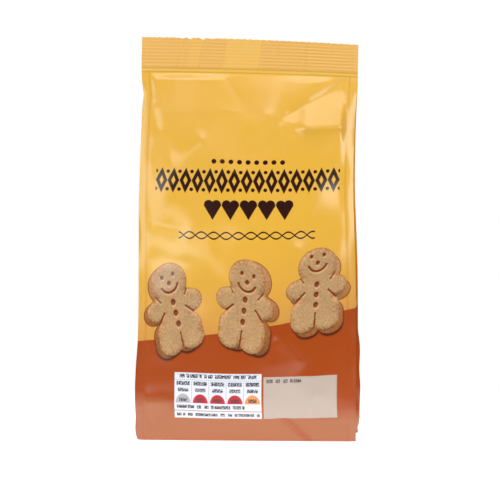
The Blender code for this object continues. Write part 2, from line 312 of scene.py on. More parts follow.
def through(knots, height):
    """A smooth curve through (height, value) knots in millimetres: a cubic for each span, whose slope
    at a knot is the mean one there."""
    at, value = np.array(knots).T * MM
    slope = np.gradient(value, at)
    i = np.clip(np.searchsorted(at, height, side="right") - 1, 0, len(at) - 2)
    span = at[i + 1] - at[i]
    t = np.clip((height - at[i]) / span, 0.0, 1.0)
    start = value[i] * (1 + 2 * t) * (1 - t) ** 2 + slope[i] * span * t * (1 - t) ** 2
    end = value[i + 1] * t * t * (3 - 2 * t) - slope[i + 1] * span * t * t * (1 - t)
    return start + end


def fold_line(x, height, start, end):
    """Share of the way along the line from start to end (mm), and distance to its left (m)."""
    x_start, z_start = np.array(start) * MM
    across, up = (np.array(end) - np.array(start)) * MM
    length = math.hypot(across, up)
    along = ((x - x_start) * across + (height - z_start) * up) / length**2
    off = ((height - z_start) * across - (x - x_start) * up) / length
    return along, off


def fold(x, height, start, end, rise, reach_left, reach_right, rounding):
    """A ridge along a line: rise times exp(-distance / reach), rounded at the crest, with faded ends."""
    along, off = fold_line(x, height, start, end)
    reach = np.where(off > 0, reach_left, reach_right) * MM
    rounded = np.sqrt(off**2 + (rounding * MM) ** 2) - rounding * MM
    fade = ease(along / 0.25) * ease((1 - along) / 0.25)
    return rise * MM * fade * np.exp(-rounded / reach)


def crease_wear(x, height, folds):
    """1 along the crests of the sharp folds and 0 away from them: exp(-(distance / 0.6 mm) squared)."""
    wear = 0 * x
    for start, end, rise, _, _, rounding in folds:
        along, off = fold_line(x, height, start, end)
        fade = ease(along / 0.3) * ease((1 - along) / 0.3)
        sharp = 0.3 * min(abs(rise) / (1 + rounding), 1)
        wear = np.maximum(wear, sharp * fade * np.exp(-((off / (0.6 * MM)) ** 2)))
    return wear


def crumples(form, side):
    """Short low folds at seeded random places and directions, deeper where the bag is slack."""
    draw = np.random.RandomState(form.crumple_seed + side)
    rise = form.crumple_depth / MM
    folds = []
    for _ in range(form.crumple_count):
        x, height = draw.uniform(-48, 48), draw.uniform(12, 178)
        slack = rise * (1 + 0.8 * ease((height - 115) / 40))
        turn, half = draw.uniform(0, math.pi), draw.uniform(5, 15)
        across, up = math.cos(turn) * half, math.sin(turn) * half
        ends = (x - across, height - up), (x + across, height + up)
        reach = draw.uniform(2.5, 7.0, 2)
        folds.append((*ends, draw.uniform(-slack, slack), *reach, 0.9))
    return folds


def lumps(x, height, depth, side):
    """Soft lumps of the biscuits behind the film: a sum of slow waves in three directions, calmer near
    the base."""
    waves = np.sin(x * 170 + side) * np.sin(height * 140 + 0.7)
    waves = waves + 0.6 * np.sin(x * 95 + height * 210 + 2 * side)
    calm = 0.45 + 0.55 * ease((height - 40 * MM) / (40 * MM))
    return depth * calm * (waves + 0.5 * np.sin(x * 260 - height * 120 + 1.3))


def half_depth(height, form):
    """From the middle plane to the corner creases: full below, and closing as a parabola to the seal."""
    closed = form.seal_thickness / 2
    closing = np.clip((height - FILL_HEIGHT) / (SEAL_FOOT - FILL_HEIGHT), 0.0, 1.0)
    full = closed + (HALF_DEPTH - closed) * (1 - closing**2)
    return full - TUCK_DEPTH * ease((TUCK_HEIGHT - height) / TUCK_HEIGHT)


def settle(points):
    """The seal's droop to the right, which grows with height from nothing at DROOP_START."""
    x, z = points[..., 0], points[..., 2]
    share = np.clip((z - DROOP_START) / (SEAL_TOP - DROOP_START), 0.0, 1.0) ** 1.5
    points[..., 2] = z - share * (DROOP_SLOPE * x + DROOP_BEND * x * x)


def body_levels():
    """Heights of the body's rows: close together at the base edge and towards the seal."""
    low = np.array(EDGE_HEIGHTS) * MM
    t = np.linspace(0.0, 1.0, BODY_LEVELS - len(low))
    share = t + 0.35 * np.sin(math.pi * t) / math.pi
    return np.concatenate([low, EDGE_TOP + (SEAL_FOOT - EDGE_TOP) * share])


def sheet_columns(height, form):
    """x of each column from the left fin's tip to the right fin's, its share across the panel between
    the creases (-1 to 1), and its share out along a fin (0 to 1)."""
    left, right = -through(LEFT_EDGE, height), through(RIGHT_EDGE, height)
    out = np.linspace(1.0, 0.0, FIN_STEPS + 1)[:-1]
    share = np.linspace(-1.0, 1.0, PANEL_STEPS + 1)
    inner_left, inner_right = left + form.fin_width, right - form.fin_width
    left_fin = inner_left - form.fin_width * out
    right_fin = inner_right + form.fin_width * out[::-1]
    panel = inner_left + (inner_right - inner_left) * (share + 1) / 2
    x = np.hstack([left_fin, panel, right_fin])
    share = np.concatenate([-np.ones(FIN_STEPS), share, np.ones(FIN_STEPS)])
    out = np.concatenate([out, np.zeros(PANEL_STEPS + 1), out[::-1]])
    return x, share, out


def fin_bend(height, corner, form):
    """How far a fin's tip bends out of its plane: two waves, with their own phase at each corner."""
    slow = np.sin(2 * math.pi * (height / 0.083 + 0.21 * corner))
    quick = np.sin(2 * math.pi * (height / 0.031 + 0.37 * corner))
    held = ease((SEAL_FOOT - height) / 0.03) * ease(height / 0.008)
    return form.fin_wave * (0.65 * slow + 0.35 * quick) * held


def seam_relief(x, height, form):
    """The ribbon of the lap seam down the middle of the back, with an eased edge."""
    across = ease((SEAM_WIDTH / 2 - np.abs(x)) / (0.9 * MM))
    return form.seam_thickness * across * ease((height - MM) / (4 * MM))


def body_sheet(levels, side, form):
    """The front (side -1) or back (side +1) sheet below the seal. Its y is the creases' depth plus the
    panel's swell, 1 - |share| ^ roundness, its folds and lumps, held at the creases, base and seal.
    Gives the points and each one's crease wear, less painted shade along the creases where the fins leave
    the panel."""
    height = levels[:, None]
    x, share, out = sheet_columns(height, form)
    swell, folds = (FRONT_SWELL, FRONT_FOLDS) if side < 0 else (BACK_SWELL, BACK_FOLDS)
    depth = half_depth(height, form)
    held = ease((1 - np.abs(share)) / 0.06) * ease((SEAL_FOOT - height) / (4 * MM)) * ease(height / (5 * MM))
    relief = lumps(x, height, form.lump_depth, side) * ease((BAG_HEIGHT * 0.8 - height) / (40 * MM))
    for line in (*folds, *crumples(form, side)):
        relief = relief + fold(x, height, *line)
    relief = relief * held
    limit = 0.3 * depth + 0.1 * MM
    relief = np.where(relief < 0, limit * np.tanh(relief / limit), relief)
    relief = relief + through(swell, height) * (1 - np.abs(share) ** PANEL_ROUNDNESS)
    if side > 0:
        relief = relief + seam_relief(x, height, form)
    edge = EDGE_ROUNDING * np.clip(1 - height / EDGE_TOP, 0.0, 1.0) ** 2
    corner = np.where(x < 0, 0, 1) + (2 if side > 0 else 0)
    lean = np.minimum(form.fin_lean, 0.5 * depth) * ease((SEAL_FOOT - height) / (20 * MM))
    bend = (fin_bend(height, corner, form) - side * lean) * (0.4 * out + 0.6 * out**2)
    y = side * (depth + relief - edge) + bend
    # Painted shade along the crease where a fin leaves its panel, carried as negative wear
    fin_crease_shade = np.exp(-(((1 - np.abs(share)) / 0.008) ** 2)) * (out == 0)
    wear = crease_wear(x, height, folds) - fin_crease_shade
    return np.stack([x, y, height + 0 * x], axis=-1), wear


def seal_top(x):
    """Height of the cut edge at x: level, with a fine waver and a few torn nicks."""
    waver = 0.10 * MM * np.sin(x * 1900) + 0.08 * MM * np.sin(x * 3100 + 1.0)
    torn = sum(depth * MM * np.clip(1 - np.abs(x / MM - at) / half, 0.0, 1.0) for at, half, depth in NICKS)
    return SEAL_TOP + waver - torn


def seal_sheet(side, form):
    """The front or back face of the seal: level ribs, a sine of the height, on the steps of the folded
    layers beneath, up to the cut edge."""
    shares = np.linspace(0.0, 1.0, SEAL_LEVELS + 1)[1:, None]
    x = sheet_columns(SEAL_FOOT + shares * (SEAL_TOP - SEAL_FOOT), form)[0]
    height = SEAL_FOOT + shares * (seal_top(x) - SEAL_FOOT)
    turns = np.clip((height - RIBS_START) / (SEAL_TOP - RIBS_START), 0.0, None) * form.rib_count
    middle = ease((9.2 * MM - np.abs(x + 3.4 * MM)) / MM)
    faint = 0.8 + 0.2 * np.sin(x * 130 + height * 240)
    wave = form.rib_depth * np.sin(2 * math.pi * turns) * (1 - 0.6 * middle) * faint
    steps = sum(rise * MM * ease((x / MM - at) / 0.6 + 0.5) for at, rise in SEAL_STEPS)
    cover = steps * ease((height - SEAL_FOOT) / MM) if side < 0 else seam_relief(x, height, form)
    return np.stack([x, side * (form.seal_thickness / 2 + cover) + wave, height], axis=-1)


def side_offset(height, form):
    """How far the middle of a side stands out of its creases: a swell below, the gusset's fold above."""
    folded = -np.sqrt(np.maximum(GUSSET_HALF**2 - half_depth(height, form) ** 2, 0.0))
    turn = ease((height - GUSSET_START) / (GUSSET_END - GUSSET_START))
    return through(SIDE_SWELL, height) * (1 - turn) + folded * turn


def side_lumps(row, height, hand):
    """Soft lumps of the biscuits behind a side, and the dent of its middle crease, faded at the edges."""
    edge = ease((1 - np.abs(row)) / 0.3) * ease(height / 0.01) * ease((GUSSET_END - height) / 0.03)
    waves = np.sin(height * 150 + hand) * np.cos(row * 2.2 + hand) + 0.6 * np.sin(height * 310 + 2 * row)
    return edge * MM * (0.35 * waves - 0.3 * np.exp(-np.abs(row) / 0.06))


def side_sheet(levels, front, back, hand, form):
    """A side from the front fin's inner face round to the back fin's (hand +1 right, -1 left). Between
    the creases x stands out by side_offset times 1 - |row| ^ roundness, a belly that turns into a V.
    Gives the points and each one's crease wear."""
    height = levels[:, None]
    inward = slice(None, -FIN_STEPS - 2, -1) if hand > 0 else slice(None, FIN_STEPS + 1)
    shift = np.zeros((len(levels), 1, 3))
    shift[..., 1] = np.minimum(form.fin_thickness, half_depth(height, form) / 2)
    near, far = front[:, inward] + shift, (back[:, inward] - shift)[:, ::-1]
    row = np.linspace(-1.0, 1.0, SIDE_STEPS + 1)[1:-1]
    turn = ease((height - GUSSET_START) / (GUSSET_END - GUSSET_START))
    roundness = SIDE_ROUNDNESS + (1.0 - SIDE_ROUNDNESS) * turn
    start, end = near[:, -1:], far[:, :1]
    belly = start + (end - start) * (row[:, None] + 1) / 2
    bulge = side_offset(height, form) * (1 - np.abs(row) ** roundness) + side_lumps(row, height, hand)
    belly[..., 0] += hand * bulge
    sheet = np.concatenate([near, belly, far], axis=1)
    wear = np.zeros(sheet.shape[:2])
    wear[:, near.shape[1] : -far.shape[1]] = np.exp(-((row / 0.05) ** 2)) * (0.4 + 0.4 * turn)
    return sheet, wear


def flat_lengths(points):
    """Millimetres on the flat film: along each row from its middle, and up each column from its foot."""
    across = np.linalg.norm(np.diff(points, axis=1), axis=-1)
    u = np.concatenate([np.zeros((len(points), 1)), np.cumsum(across, axis=1)], axis=1)
    u = u - u[:, points.shape[1] // 2, None]
    up = np.linalg.norm(np.diff(points, axis=0), axis=-1)
    v = np.concatenate([np.zeros((1, points.shape[1])), np.cumsum(up, axis=0)])
    return np.stack([u, v], axis=-1) / MM


class Shell:
    """Collects the points and the quads of the bag's sheets, with both maps and each quad's material."""

    def __init__(self):
        self.points = np.zeros((0, 3))
        self.marks = np.zeros((0, 2))
        self.faces, self.place, self.bake, self.material = [], [], [], []

    def add_points(self, grid, wear=0.0, seal=0.0):
        """Adds a grid of points, with each one's wear, below 0 where crease shade is painted, and share up
        the seal, and gives their numbers in the grid's own layout."""
        shape = grid.shape[:-1]
        first = len(self.points)
        self.points = np.vstack([self.points, grid.reshape(-1, 3)])
        marks = np.stack([np.broadcast_to(wear, shape), np.broadcast_to(seal, shape)], axis=-1)
        self.marks = np.vstack([self.marks, marks.reshape(-1, 2)])
        return first + np.arange(math.prod(shape)).reshape(shape)

    def add_sheet(self, ids, place, corner, size, material):
        """Adds a grid's quads, which face the way of columns times rows. The grid's rows and columns
        are spread evenly over a rectangle of the bake map, from its low corner."""
        rows, columns = ids.shape
        spread = np.meshgrid(np.linspace(0, size[0], columns), np.linspace(0, size[1], rows))
        place = np.broadcast_to(place, (rows, columns, 2))
        kept = (self.faces, ids[..., None]), (self.place, place), (self.bake, np.stack(spread, -1) + corner)
        for parts, grid in kept:
            corners = np.stack([grid[:-1, :-1], grid[:-1, 1:], grid[1:, 1:], grid[1:, :-1]], axis=2)
            parts.append(corners.reshape(-1, 4, grid.shape[-1]))
        self.material.append(np.full((rows - 1) * (columns - 1), material))

    def build(self, name):
        """The mesh, with the print's map, the bake's map, and each point's wear, below 0 where crease shade
        is painted, and share up the seal.
        """
        mesh = bpy.data.meshes.new(name)
        mesh.from_pydata(self.points, [], np.concatenate(self.faces)[..., 0].tolist())
        for map_name, parts in ((BAKE_MAP, self.bake), (PLACE_MAP, self.place)):
            layer = mesh.uv_layers.new(name=map_name)
            layer.data.foreach_set("uv", np.concatenate(parts).astype(np.float32).ravel())
        mesh.uv_layers[BAKE_MAP].active_render = True
        for k, mark in enumerate(("wear", "seal")):
            layer = mesh.attributes.new(mark, "FLOAT", "POINT")
            layer.data.foreach_set("value", self.marks[:, k].astype(np.float32))
        mesh.polygons.foreach_set("material_index", np.concatenate(self.material).astype(np.int32))
        mesh.shade_smooth()
        mesh.set_sharp_from_angle(angle=math.radians(50))
        mesh.update()
        return mesh


def add_base(shell, front_row, back_row, left_column, right_column):
    """The base, a grid from back to front whose edges are the sheets' lowest rows. Inside it the points
    are spread evenly along each row and lifted by the flaps' folds."""
    ids = np.zeros((len(left_column) + 2, len(front_row)), int)
    ids[0], ids[-1] = back_row, front_row
    ids[1:-1, 0], ids[1:-1, -1] = left_column, right_column
    start, end = shell.points[left_column][:, None], shell.points[right_column][:, None]
    inner = start + (end - start) * np.linspace(0.0, 1.0, len(front_row))[1:-1, None]
    x, y = inner[..., 0], inner[..., 1]
    lift = sum(fold(x, y, *line) for line in BASE_FOLDS)
    edge = ease((HALF_DEPTH - np.abs(y)) / (3 * MM)) * ease((51 * MM - np.abs(x)) / (3 * MM))
    inner[..., 2] = np.maximum(lift, 0) * edge
    ids[1:-1, 1:-1] = shell.add_points(inner)
    place = shell.points[ids][..., :2] / MM - (0, 30)
    shell.add_sheet(ids, place, (0.908, 0.030), (0.088, 0.100), PLAIN)


def build_film(form):
    """All sheets of the bag, joined at shared points into one closed surface."""
    levels = body_levels()
    top = len(levels) - 1
    front, front_wear = body_sheet(levels, -1, form)
    back, back_wear = body_sheet(levels, 1, form)
    sides = [side_sheet(levels, front, back, hand, form) for hand in (-1, 1)]
    front = np.concatenate([front, seal_sheet(-1, form)])
    back = np.concatenate([back, seal_sheet(1, form)])
    unworn = np.zeros((SEAL_LEVELS, front.shape[1]))
    seal = np.concatenate([np.zeros(top + 1), np.linspace(0.0, 1.0, SEAL_LEVELS + 1)[1:]])[:, None]
    flat_front, flat_back = flat_lengths(front), flat_lengths(back)
    for sheet in (front, back, sides[0][0], sides[1][0]):
        settle(sheet)

    shell = Shell()
    front_ids = shell.add_points(front, np.concatenate([front_wear, unworn]), seal)
    back_ids = shell.add_points(back, np.concatenate([back_wear, unworn]), seal)
    side_ids = [shell.add_points(*side) for side in sides]
    shell.add_sheet(front_ids, flat_front, (0.004, 0.004), (0.56, 0.992), FRONT)
    shell.add_sheet(back_ids[:, ::-1], flat_back[:, ::-1], (0.572, 0.352), (0.36, 0.64), BACK)
    for column, ids, corner in ((0, side_ids[0], 0.742), (-1, side_ids[1], 0.572)):
        tips = np.column_stack([front_ids[:, column], back_ids[:, column]])
        whole = np.column_stack([tips[: top + 1, 0], ids, tips[: top + 1, 1]])
        if column == 0:
            whole, tips = whole[:, ::-1], tips[:, ::-1]
        half = whole.shape[1] // 2
        pocket = np.stack([whole[top, :half], whole[top, : half - 1 : -1]])
        place = flat_front[:, column, None]
        shell.add_sheet(whole, place[: top + 1], (corner, 0.024), (0.16, 0.32), PLAIN)
        shell.add_sheet(tips[top:], place[top:], (corner, 0.012), (0.16, 0.008), PLAIN)
        shell.add_sheet(pocket, place[top], (corner, 0.002), (0.16, 0.006), PLAIN)
    edge = np.stack([front_ids[-1], back_ids[-1]])
    shell.add_sheet(edge, flat_front[-1], (0.908, 0.140), (0.088, 0.006), PLAIN)

    left, right = side_ids[0][0], side_ids[1][0]
    fin, crease = FIN_STEPS + 1, FIN_STEPS
    panel = slice(crease, -crease)
    left_column, right_column = left[crease:-crease][::-1], right[crease:-crease][::-1]
    add_base(shell, front_ids[0, panel], back_ids[0, panel], left_column, right_column)
    bottoms = (
        (left[:fin], front_ids[0, :fin]),
        (right[:fin][::-1], front_ids[0, -fin:]),
        (back_ids[0, :fin], left[-fin:][::-1]),
        (back_ids[0, -fin:], right[-fin:]),
    )
    for k, rows in enumerate(bottoms):
        shell.add_sheet(np.stack(rows), (0, -30), (0.908 + 0.022 * k, 0.150), (0.018, 0.004), PLAIN)
    return shell.build("printed_film_bag")


def wire_math(operation):
    """A method that puts a Math node on a wire and on the values given with it."""
    return lambda wire, *values: wire.graph.math(operation, wire, *values)


class Wire:
    """A value in a node tree. Sums, products and the like of wires add Math nodes to the tree."""

    def __init__(self, graph, socket):
        self.graph = graph
        self.socket = socket

    __add__, __sub__ = wire_math("ADD"), wire_math("SUBTRACT")
    __mul__, __abs__ = wire_math("MULTIPLY"), wire_math("ABSOLUTE")

    def __rsub__(self, other):
        return self.graph.math("SUBTRACT", other, self)

    def wrap(self, half):
        """Repeats from -half to half."""
        return self.graph.math("WRAP", self, half, -half)

    def above(self, level):
        """1 where it is above level, 0 elsewhere."""
        return self.graph.math("GREATER_THAN", self, level)

    def inside(self, soft=0.22):
        """1 where a signed distance is below 0 and 0 above, with an edge that is soft wide."""
        return self.graph.math("MULTIPLY_ADD", self, -1.0 / soft, 0.5, clamp=True)

    def held(self):
        """Held between 0 and 1."""
        return self.graph.math("ADD", self, 0.0, clamp=True)


class Graph:
    """A node tree, with short calls for the nodes that the materials need."""

    def __init__(self, tree):
        self.tree = tree

    def add(self, kind, *values, **settings):
        """Adds a node with its settings, and feeds its inputs in order."""
        count = len(self.tree.nodes)
        node = self.tree.nodes.new(kind)
        node.location = (count % 16 * 180, -(count // 16) * 260)
        for name, value in settings.items():
            setattr(node, name, value)
        self.feed(node, dict(enumerate(values)))
        return node

    def feed(self, node, values):
        """Feeds a node's inputs, by place or name, with a wire or a value. None leaves one alone."""
        for port, value in values.items():
            if isinstance(value, Wire):
                self.tree.links.new(value.socket, node.inputs[port])
            elif value is not None:
                node.inputs[port].default_value = value

    def out(self, port, kind, *values, **settings):
        """Adds a node and gives one of its outputs."""
        return Wire(self, self.add(kind, *values, **settings).outputs[port])

    def math(self, operation, *values, clamp=False):
        """A Math node's value."""
        return self.out(0, "ShaderNodeMath", *values, operation=operation, use_clamp=clamp)

    def mix(self, mask, below, above):
        """The colour above laid over the colour below where the mask is 1."""
        values = (mask, None, None, None, None, None, below, above)
        return self.out(2, "ShaderNodeMix", *values, data_type="RGBA")

    def spot(self, u, v):
        """The point (u, v)."""
        return self.out(0, "ShaderNodeCombineXYZ", u, v)

    def noise(self, place, scale, detail=2.0):
        """Fractal noise from 0 to 1 over a place."""
        return self.out(0, "ShaderNodeTexNoise", place, None, scale, detail)

    def words(self, u, row):
        """Random runs along u, as long as words: noise over one number, cut at a level."""
        run = self.out(0, "ShaderNodeTexNoise", None, u * 0.55 + row, 1.0, 0.0, noise_dimensions="1D")
        return run.above(0.40)

    def strokes(self, u, v):
        """Marks as fine as small print, but no letters: noise drawn out upwards and cut at a level."""
        return (0.47 - self.noise(self.spot(u * 1.9, v * 1.2), 1.0, 1.0)).inside(0.12)

    def call(self, group, *values):
        """Places a node group and gives its outputs."""
        node = self.add("ShaderNodeGroup", *values, node_tree=group)
        return [Wire(self, socket) for socket in node.outputs]


def length(x, y):
    """Root of x squared plus y squared."""
    return x.graph.math("SQRT", x.graph.math("MULTIPLY_ADD", x, x, y * y))


def either(shape, *others):
    """Signed distance to whichever of the shapes is nearest."""
    for other in others:
        shape = shape.graph.math("MINIMUM", shape, other)
    return shape


def both(shape, *others):
    """Signed distance to what the shapes share."""
    for other in others:
        shape = shape.graph.math("MAXIMUM", shape, other)
    return shape


def melt(a, b, soft=1.6):
    """Signed distance to two shapes that run into each other."""
    return a.graph.math("SMOOTH_MIN", a, b, soft)


def disc(x, y, middle, radius):
    """Signed distance to a disc."""
    return length(x - middle[0], y - middle[1]) - radius


def box(x, y, middle_x, middle_y, half_width, half_height):
    """Signed distance to an upright box, measured square to its sides."""
    return both(abs(x - middle_x) - half_width, abs(y - middle_y) - half_height)


def lozenge(x, y, half_width, half_height):
    """Signed distance to a lozenge about the origin: |x| h + |y| w - w h, over its side's length."""
    side = math.hypot(half_width, half_height)
    sides = abs(x) * (half_height / side) + abs(y) * (half_width / side)
    return sides - half_width * half_height / side


def stroke(x, y, start, end, radius):
    """Signed distance to a thick line with round ends."""
    across, up = end[0] - start[0], end[1] - start[1]
    reach = across**2 + up**2
    x, y = x - start[0], y - start[1]
    along = x.graph.math("ADD", x * (across / reach), y * (up / reach), clamp=True)
    return length(x - along * across, y - along * up) - radius


def new_group(name, inputs, outputs):
    """A shader node group with number or colour inputs, as name and default, and outputs, as name and
    kind. Gives its graph, its inputs and the node that takes its outputs."""
    tree = bpy.data.node_groups.new(name, "ShaderNodeTree")
    for input_name, default in inputs:
        kind = "NodeSocketFloat" if isinstance(default, float) else "NodeSocketColor"
        socket = tree.interface.new_socket(name=input_name, in_out="INPUT", socket_type=kind)
        socket.default_value = default
    for output_name, kind in outputs:
        tree.interface.new_socket(name=output_name, in_out="OUTPUT", socket_type=kind)
    graph = Graph(tree)
    start = tree.nodes.new("NodeGroupInput")
    return graph, [Wire(graph, socket) for socket in start.outputs[: len(inputs)]]


def close_group(graph, *values):
    """Feeds the group's outputs, and gives the group."""
    graph.add("NodeGroupOutput", *values)
    return graph.tree


def fields_group(inks):
    """The two fields of colour: the upper dulled towards their shared edge, and paler near the seal and
    in soft patches, both painted sheen; the lower paler towards the base, a painted reflection of the floor,
    with an uneven edge and a darker streak; and the crimped seal, whose foot is a clear yellow line between
    two lines of painted shade."""
    names = ("yellow", "dull_yellow", "seal_yellow", "clear_yellow", "orange", "pale_orange")
    inputs = [("U", 0.0), ("V", 0.0), ("Seal", 0.0)]
    inputs += [(name.replace("_", " ").capitalize(), getattr(inks, name)) for name in names]
    graph, values = new_group("printed_fields", inputs, [("Colour", "NodeSocketColor")])
    u, v, seal, yellow, dull, seal_yellow, clear_yellow, orange, pale = values
    height, slope, bend = FIELD_EDGE
    over = v - (u * slope + u * u * bend + height)
    near = graph.math("MULTIPLY_ADD", over, -1 / 60, 1.0, clamp=True)
    colour = graph.mix(near * near * 0.85, yellow, dull)
    # Painted sheen: the upper field paler towards the seal
    colour = graph.mix((165.0 - v).inside(60.0) * 0.25, colour, seal_yellow)
    # Two soft patches of painted sheen on the upper field
    for (middle, radius, strength), tint in ((UPPER_SHEEN_PATCH, seal_yellow), (LOWER_SHEEN_PATCH, SHEEN_TINT)):
        colour = graph.mix(disc(u, v, middle, radius).inside(30.0) * strength, colour, tint)
    place = graph.spot(u, v)
    # Soft noise patches of painted sheen on the upper film
    slack = (0.53 - graph.noise(place, 0.045)).inside(0.14) * (130.0 - v).inside(50.0)
    colour = graph.mix(slack * 0.3, colour, seal_yellow)

    layers = u - seal * LAYER_LEAN
    first, second = ((abs(layers - at) - half).inside(2.0) * strength for at, half, strength in SEAL_CLEAR)
    tinted = graph.mix((first + second).held() * 0.6, seal_yellow, clear_yellow)
    # Painted shade lines along the steps where the seal's inner layers end
    for at, strength in SEAL_STEP_SHADES:
        tinted = graph.mix((abs(layers - at) - 0.1).inside(0.9) * strength, tinted, orange)
    colour = graph.mix((RIBS_FOOT - seal).inside(0.03), colour, tinted)
    # Two lines of painted shade: the seal's shadow at its foot and the crease at its ribs' foot
    for at, strength in SHADE_LINES:
        line = (abs(seal - at) - 0.02).inside(0.03) * strength * seal.above(0.001)
        colour = graph.mix(line, colour, orange)
    colour = graph.mix((abs(seal - CLEAR_LINE) - 0.03).inside(0.04) * 0.5, colour, CLEAR_TINT)

    # Painted reflection of the floor: the lower field paler towards the base, with an uneven edge, left
    # darker along a streak
    drift = graph.noise(place, 0.09, 3.0)
    base = graph.mix((v + drift * 10.0 + u * 0.07 - FLOOR_REFLECTION_HEIGHT).inside(6.5), orange, pale)
    base = graph.mix(stroke(u, v, *BASE_STREAK, 1.8).inside(2.4) * 0.6, base, orange)
    return close_group(graph, graph.mix(over.inside(0.3), colour, base))


def figure_outline(x, y):
    """Signed distance to a plump gingerbread figure: a round head, short arms and two stout legs."""
    half = abs(x)
    shape = stroke(x, y, (0.0, 3.5), (0.0, -8.0), 8.9)
    shape = melt(shape, stroke(half, y, (4.5, 4.0), (9.4, 2.0), 5.6), 0.6)
    shape = melt(shape, stroke(half, y, (5.5, -9.5), (5.5, -14.8), 6.5), 0.5)
    return melt(shape, disc(x, y, (0.0, 14.0), 9.6), 0.7)


def figure_dents(x, y, look):
    """Signed distance to what is pressed into a figure: two eyes, a nose and a smile, set higher by look,
    three buttons, and the creases at its neck, under its arms and between its legs."""
    half, face = abs(x), y - look
    eyes = length((half - 3.1) * 1.25, face - 16.7) - 1.1
    nose = length(x * 1.15, face - 12.9) - 1.2
    smile = both(abs(disc(x, face, (0.0, 12.9), 4.5)) - 0.55, face - 11.9)
    buttons = both(length(x * 1.3, (y + 1.5).wrap(2.75)) - 1.6, abs(y + 1.5) - 8.0)
    neck = stroke(half, y, (6.6, 5.8), (9.0, 9.4), 0.35)
    arms = stroke(half, y, (5.8, 0.2), (10.0, -4.4), 0.45)
    legs = stroke(x, y, (0.0, -11.4), (0.0, -21.0), 0.4)
    return either(eyes, nose, smile, buttons, neck, arms, legs)


def figure_group():
    """The nearest of the three gingerbread figures: the signed distances to its face and to the whole of
    it with the side that shows, its dents as a mask, and the relief of its face in millimetres."""
    outputs = [(name, "NodeSocketFloat") for name in ("Face", "Whole", "Dent", "Relief")]
    graph, (u, v) = new_group("gingerbread_figure", (("U", 0.0), ("V", 0.0)), outputs)
    past_first, past_second = u.above(FIGURE_LIMITS[0]), u.above(FIGURE_LIMITS[1])

    def pick(first, second, third):
        return past_first * (second - first) + past_second * (third - second) + first

    picked = (pick(*values) for values in zip(*FIGURES))
    middle_u, middle_v, x_u, x_v, y_u, y_v, look, side_x, side_y = picked
    across, up = u - middle_u, v - middle_v
    x, y = across * x_u + up * x_v, across * y_u + up * y_v
    face = figure_outline(x, y)
    whole = melt(face, figure_outline(x - side_x, y - side_y), 0.6)
    inner = (face * -0.4).held()
    dent = figure_dents(x, y, look).inside(0.6)
    relief = inner * (2.0 - inner) * 1.3 - dent
    return close_group(graph, face, whole, dent, relief)


def surface_group():
    """The film's finish: fine grain, soft crinkles, and duller film along its worn creases."""
    outputs = [("Roughness", "NodeSocketFloat"), ("Height", "NodeSocketFloat")]
    graph, (wear,) = new_group("film_surface", (("Wear", 0.0),), outputs)
    place = graph.out("Object", "ShaderNodeTexCoord")
    crinkle = graph.noise(place, 160.0, 3.0)
    grain = graph.noise(place, 1500.0, 1.0)
    roughness = graph.math("MULTIPLY_ADD", crinkle, 0.10, wear * 0.2 + 0.33)
    height = crinkle * 0.05 + grain * 0.006
    return close_group(graph, roughness, height)


def row_item(u, v, row):
    """Where a point lies in its item of a row, from the item's middle, and the distance past the row."""
    middle, level, pitch, count = row
    return (u - middle).wrap(pitch / 2), v - level, abs(u - middle) - pitch * count / 2


def paint_ornaments(graph, u, v, colour, inks):
    """A frieze of lozenges, a row of hearts, a row of dots and a chain of ovals, in dark ink."""
    x, y, past = row_item(u, v, FRIEZE)
    tile = both(lozenge(x, y, 3.05, 6.6), lozenge(x, y, 1.1, 2.4) * -1.0)
    pearls = length(abs(x) - FRIEZE[2] / 2, abs(y) - 4.6) - 0.95
    frieze = both(either(tile, pearls), past)

    x, y, past = row_item(u, v, HEARTS)
    point = both(lozenge(abs(x), y - 1.9, 4.4, 7.4), y - 2.3)
    hearts = both(either(disc(abs(x), y, (1.95, 2.3), 2.35), point), past)

    x, y, past = row_item(u, v, DOTS)
    dots = both(length(x, y) - 1.25, past)

    middle, level, half, wave_length = WAVE
    wave = abs(graph.math("SINE", u * (math.pi / wave_length))) * 1.7
    chain = both(abs(abs(v - level) - wave) - 0.4, abs(u - middle) - half)
    return graph.mix(either(frieze, hearts, dots, chain).inside(), colour, inks.ink)


def paint_figures(graph, u, v, colour, inks):
    """The figures, shaded by their relief's slope towards the light, on a soft shadow over the lower
    field. The sides that show are paler at the heads than at the legs."""
    group = figure_group()
    face, whole, dent, relief = graph.call(group, u, v)
    _, shadow, _, relief_above = graph.call(group, u + LIGHT_STEP[0], v + LIGHT_STEP[1])
    height, slope, _ = FIELD_EDGE
    below = (v - (u * slope + height)).inside(10.0)
    colour = graph.mix(shadow.inside(1.1) * below * 0.9, colour, SHADOW_TINT)
    place, on_face = graph.spot(u, v), face.inside(0.7)
    mottle, grain = graph.noise(place, 0.16), graph.noise(place, 0.9, 3.0)
    side = graph.mix((v * 0.03 - 1.8).held() * 0.65, inks.crust, inks.biscuit)
    side = graph.mix((whole * -1.3).held(), inks.brown, side)
    browned = (face * -0.34 + mottle * 2.0 + grain * 2.4 - 2.0).held()
    biscuit = graph.mix(on_face, side, graph.mix(browned * 0.75 + 0.3, inks.crust, inks.biscuit))
    rise = relief - relief_above
    turned = ((shadow - whole) * 0.1 + (v - 72.0) * 0.011) * (1.0 - on_face)
    shade = rise * 0.42 + grain * 0.9 + mottle * 0.35 + 0.36 + turned
    biscuit = graph.out(0, "ShaderNodeVectorMath", biscuit, None, None, shade, operation="SCALE")
    deep = dent * (0.86 - rise * 0.3) * face.inside(0.5)
    return graph.mix(whole.inside(0.3), colour, graph.mix(deep, biscuit, inks.brown))


